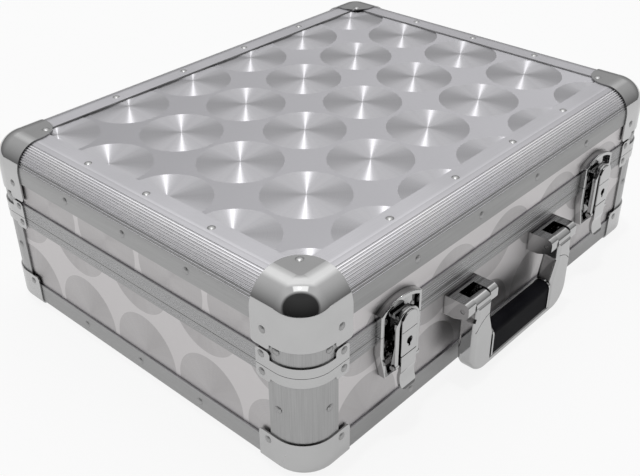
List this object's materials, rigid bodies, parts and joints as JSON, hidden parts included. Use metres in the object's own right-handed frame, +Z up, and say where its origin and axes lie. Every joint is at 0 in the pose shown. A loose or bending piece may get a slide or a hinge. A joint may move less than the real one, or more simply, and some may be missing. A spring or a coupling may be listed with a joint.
{
  "type": "cd storage case",
  "caption": "Aluminium framed carrying case for compact discs, with a hinged lid, ball corners, key latches, a drop handle, dividers inside and rubber feet.",
  "frame": {"origin": "under the middle of the outline, on the floor that the rubber feet stand on", "axes": "+Z up, +X along the long side to the right as seen from the front, the front with latches and handle faces -Y"},
  "size_m": [0.4596, 0.385, 0.1543],
  "materials": {
    "top_panel": "thin board with a satin metal-look laminate in an engine-turned disc pattern",
    "side_panel": "thin board with a satin metal-look laminate in an engine-turned disc pattern",
    "bottom_panel": "thin board with a plain satin laminate",
    "profile": "satin anodised, finely ribbed",
    "post": "brushed along the upright",
    "ball_corner": "polished plating, slightly dulled",
    "corner_sheet": "nickel plated, satin",
    "rivet": "plated, domed heads",
    "lining": "black foam and felt",
    "divider": "black, fine grain",
    "rubber": "black, matt",
    "hinge": "nickel plated, satin",
    "latch_chrome": "bright plating",
    "pin_steel": "turned steel",
    "handle_chrome": "bright plating",
    "grip": "black, satin to glossy"
  },
  "bodies": {
    "base": {"base_front_board": "side_panel", "base_front_rim": "profile", "base_back_board": "side_panel", "base_back_rim": "profile", "base_left_board": "side_panel", "base_left_rim": "profile", "base_right_board": "side_panel", "base_right_rim": "profile", "base_front_angle": "profile", "base_back_angle": "profile", "base_left_angle": "profile", "base_right_angle": "profile", "base_bottom_board": "bottom_panel", "base_corner_posts": "post", "base_corner_straps": "corner_sheet", "base_corner_caps": "corner_sheet", "base_rivets": "rivet", "foot_screws": "rivet", "bracket_screws": "rivet", "base_floor_pad": "lining", "cd_dividers": "divider", "rubber_feet": "rubber", "hinge_base_leaves": "hinge", "hinge_pins": "hinge", "latch_bases": "latch_chrome", "lever_pins": "pin_steel", "handle_pins": "pin_steel", "handle_brackets": "handle_chrome"},
    "lid": {"lid_front_board": "side_panel", "lid_front_rim": "profile", "lid_back_board": "side_panel", "lid_back_rim": "profile", "lid_left_board": "side_panel", "lid_left_rim": "profile", "lid_right_board": "side_panel", "lid_right_rim": "profile", "lid_front_edge": "profile", "lid_back_edge": "profile", "lid_left_edge": "profile", "lid_right_edge": "profile", "lid_top_board": "top_panel", "lid_corner_posts": "post", "lid_ball_corners": "ball_corner", "lid_corner_straps": "corner_sheet", "lid_rivets": "rivet", "lid_foam_pad": "lining", "hinge_lid_leaves": "hinge", "latch_keepers": "latch_chrome"},
    "lever_left": {"latch_lever_left": "latch_chrome", "bail_pin_left": "pin_steel"},
    "bail_left": {"latch_bail_left": "latch_chrome"},
    "lock_left": {"lock_plug_left": "pin_steel"},
    "lever_right": {"latch_lever_right": "latch_chrome", "bail_pin_right": "pin_steel"},
    "bail_right": {"latch_bail_right": "latch_chrome"},
    "lock_right": {"lock_plug_right": "pin_steel"},
    "handle": {"handle_frame": "handle_chrome", "handle_grip": "grip", "handle_collars": "handle_chrome"}
  },
  "joints": [
    {"name": "lid_hinge", "type": "hinge", "parent": "base", "child": "lid", "pos_m": [0, 0.18673, 0.089], "axis": [-1, 0, 0], "range_deg": [0, 105]},
    {"name": "lever_left", "type": "hinge", "parent": "base", "child": "lever_left", "pos_m": [-0.135, -0.17497, 0.0675], "axis": [-1, 0, 0], "range_deg": [0, 95]},
    {"name": "bail_left", "type": "hinge", "parent": "lever_left", "child": "bail_left", "pos_m": [-0.135, -0.17797, 0.0605], "axis": [-1, 0, 0], "range_deg": [-95, 0]},
    {"name": "lock_left", "type": "hinge", "parent": "bail_left", "child": "lock_left", "pos_m": [-0.135, -0.17647, 0.0795], "axis": [0, -1, 0], "range_deg": [0, 90]},
    {"name": "lever_right", "type": "hinge", "parent": "base", "child": "lever_right", "pos_m": [0.135, -0.17497, 0.0675], "axis": [-1, 0, 0], "range_deg": [0, 95]},
    {"name": "bail_right", "type": "hinge", "parent": "lever_right", "child": "bail_right", "pos_m": [0.135, -0.17797, 0.0605], "axis": [-1, 0, 0], "range_deg": [-95, 0]},
    {"name": "lock_right", "type": "hinge", "parent": "bail_right", "child": "lock_right", "pos_m": [0.135, -0.17647, 0.0795], "axis": [0, -1, 0], "range_deg": [0, 90]},
    {"name": "handle_swing", "type": "hinge", "parent": "base", "child": "handle", "pos_m": [0, -0.18497, 0.0715], "axis": [-1, 0, 0], "range_deg": [0, 110]}
  ],
  "couplings": [
    {"joint": "bail_left", "follows": "lever_left", "ratio": -1},
    {"joint": "bail_right", "follows": "lever_right", "ratio": -1}
  ]
}
